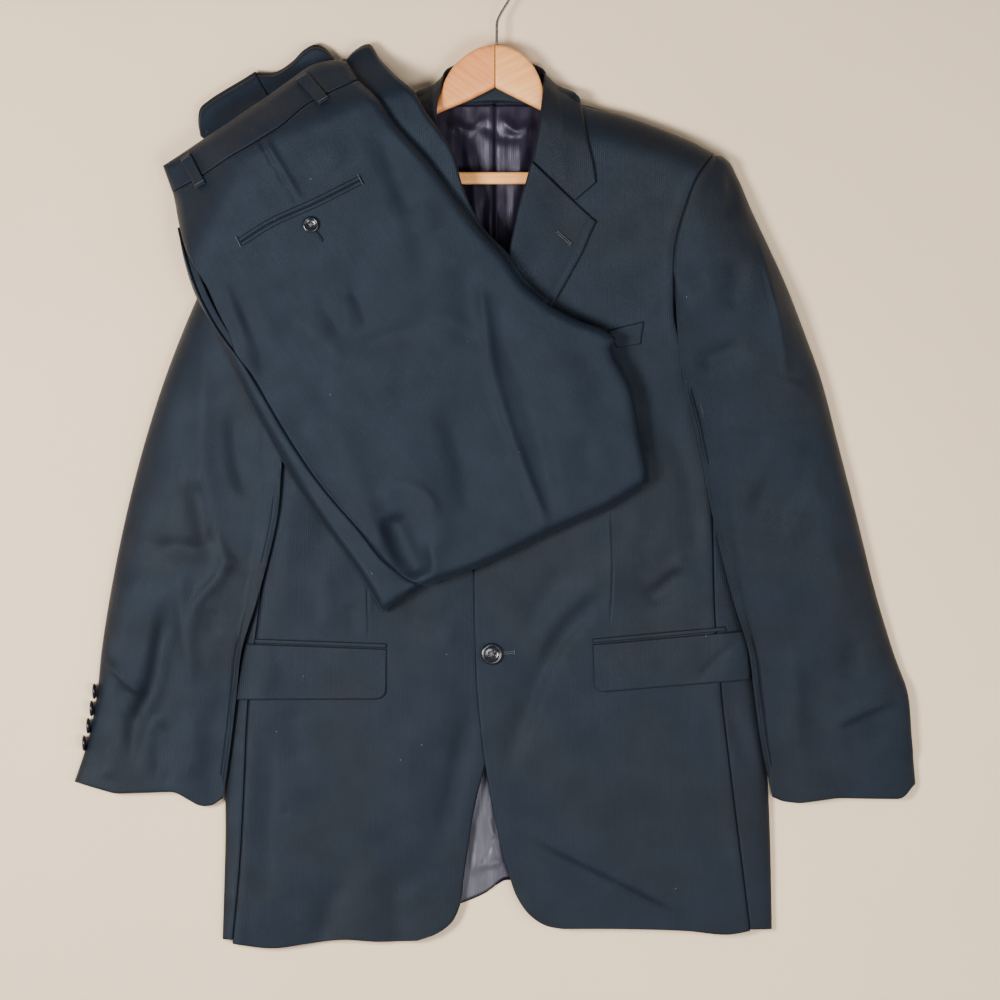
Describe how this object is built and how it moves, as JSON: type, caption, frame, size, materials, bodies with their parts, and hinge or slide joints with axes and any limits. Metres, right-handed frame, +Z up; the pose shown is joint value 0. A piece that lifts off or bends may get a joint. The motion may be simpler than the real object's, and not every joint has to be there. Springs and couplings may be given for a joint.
{
  "type": "two-piece suit on a hanger",
  "caption": "Single-breasted notch-lapel suit laid flat on its wooden hanger: the buttoned jacket, with its folded trousers lying across one shoulder",
  "frame": {"origin": "centre of the whole footprint, on the surface the suit lies on", "axes": "+X towards the wearer's left sleeve as the jacket lies face up, +Y from the hem towards the hanger's hook, +Z up from the surface"},
  "size_m": [0.78, 0.923, 0.0674],
  "materials": {
    "jacket_wool": "dark navy worsted wool with a faint rib, matt with a soft sheen",
    "trouser_wool": "the same dark navy worsted wool with a faint rib",
    "lining_satin": "smooth satin lining, grey with a purple cast",
    "button_horn": "polished dark buttons with a rim",
    "hanger_wood": "pale lacquered beech",
    "hook_wire": "bright plated wire"
  },
  "bodies": {
    "root": {"back_left": "jacket_wool", "back_right": "jacket_wool", "front_left": "jacket_wool", "front_right": "jacket_wool", "side_left": "jacket_wool", "side_right": "jacket_wool", "sleeve_left_upper": "jacket_wool", "sleeve_left_under": "jacket_wool", "sleeve_right_upper": "jacket_wool", "sleeve_right_under": "jacket_wool", "collar": "jacket_wool", "collar_stand": "jacket_wool", "lapel_left": "jacket_wool", "lapel_right": "jacket_wool", "flap_left": "jacket_wool", "flap_right": "jacket_wool", "flap_jet_left": "jacket_wool", "flap_jet_right": "jacket_wool", "chest_welt": "jacket_wool", "trouser_back": "trouser_wool", "trouser_front": "trouser_wool", "waistband": "trouser_wool", "belt_loop_side": "trouser_wool", "belt_loop_back": "trouser_wool", "pocket_jet_upper": "trouser_wool", "pocket_jet_lower": "trouser_wool", "pocket_loop": "trouser_wool", "side_pocket_facing": "trouser_wool", "folded_legs": "trouser_wool", "leg_hem_upper": "trouser_wool", "leg_hem_lower": "trouser_wool", "leg_side": "trouser_wool", "front_button_lower": "button_horn", "front_button_upper": "button_horn", "cuff_button_left_1": "button_horn", "cuff_button_left_2": "button_horn", "cuff_button_left_3": "button_horn", "cuff_button_left_4": "button_horn", "cuff_button_right_1": "button_horn", "cuff_button_right_2": "button_horn", "cuff_button_right_3": "button_horn", "cuff_button_right_4": "button_horn", "pocket_button": "button_horn", "back_lining": "lining_satin", "hanger_left": "hanger_wood", "hanger_right": "hanger_wood", "hanger_bar": "hanger_wood", "hanger_hook": "hook_wire"}
  },
  "joints": []
}
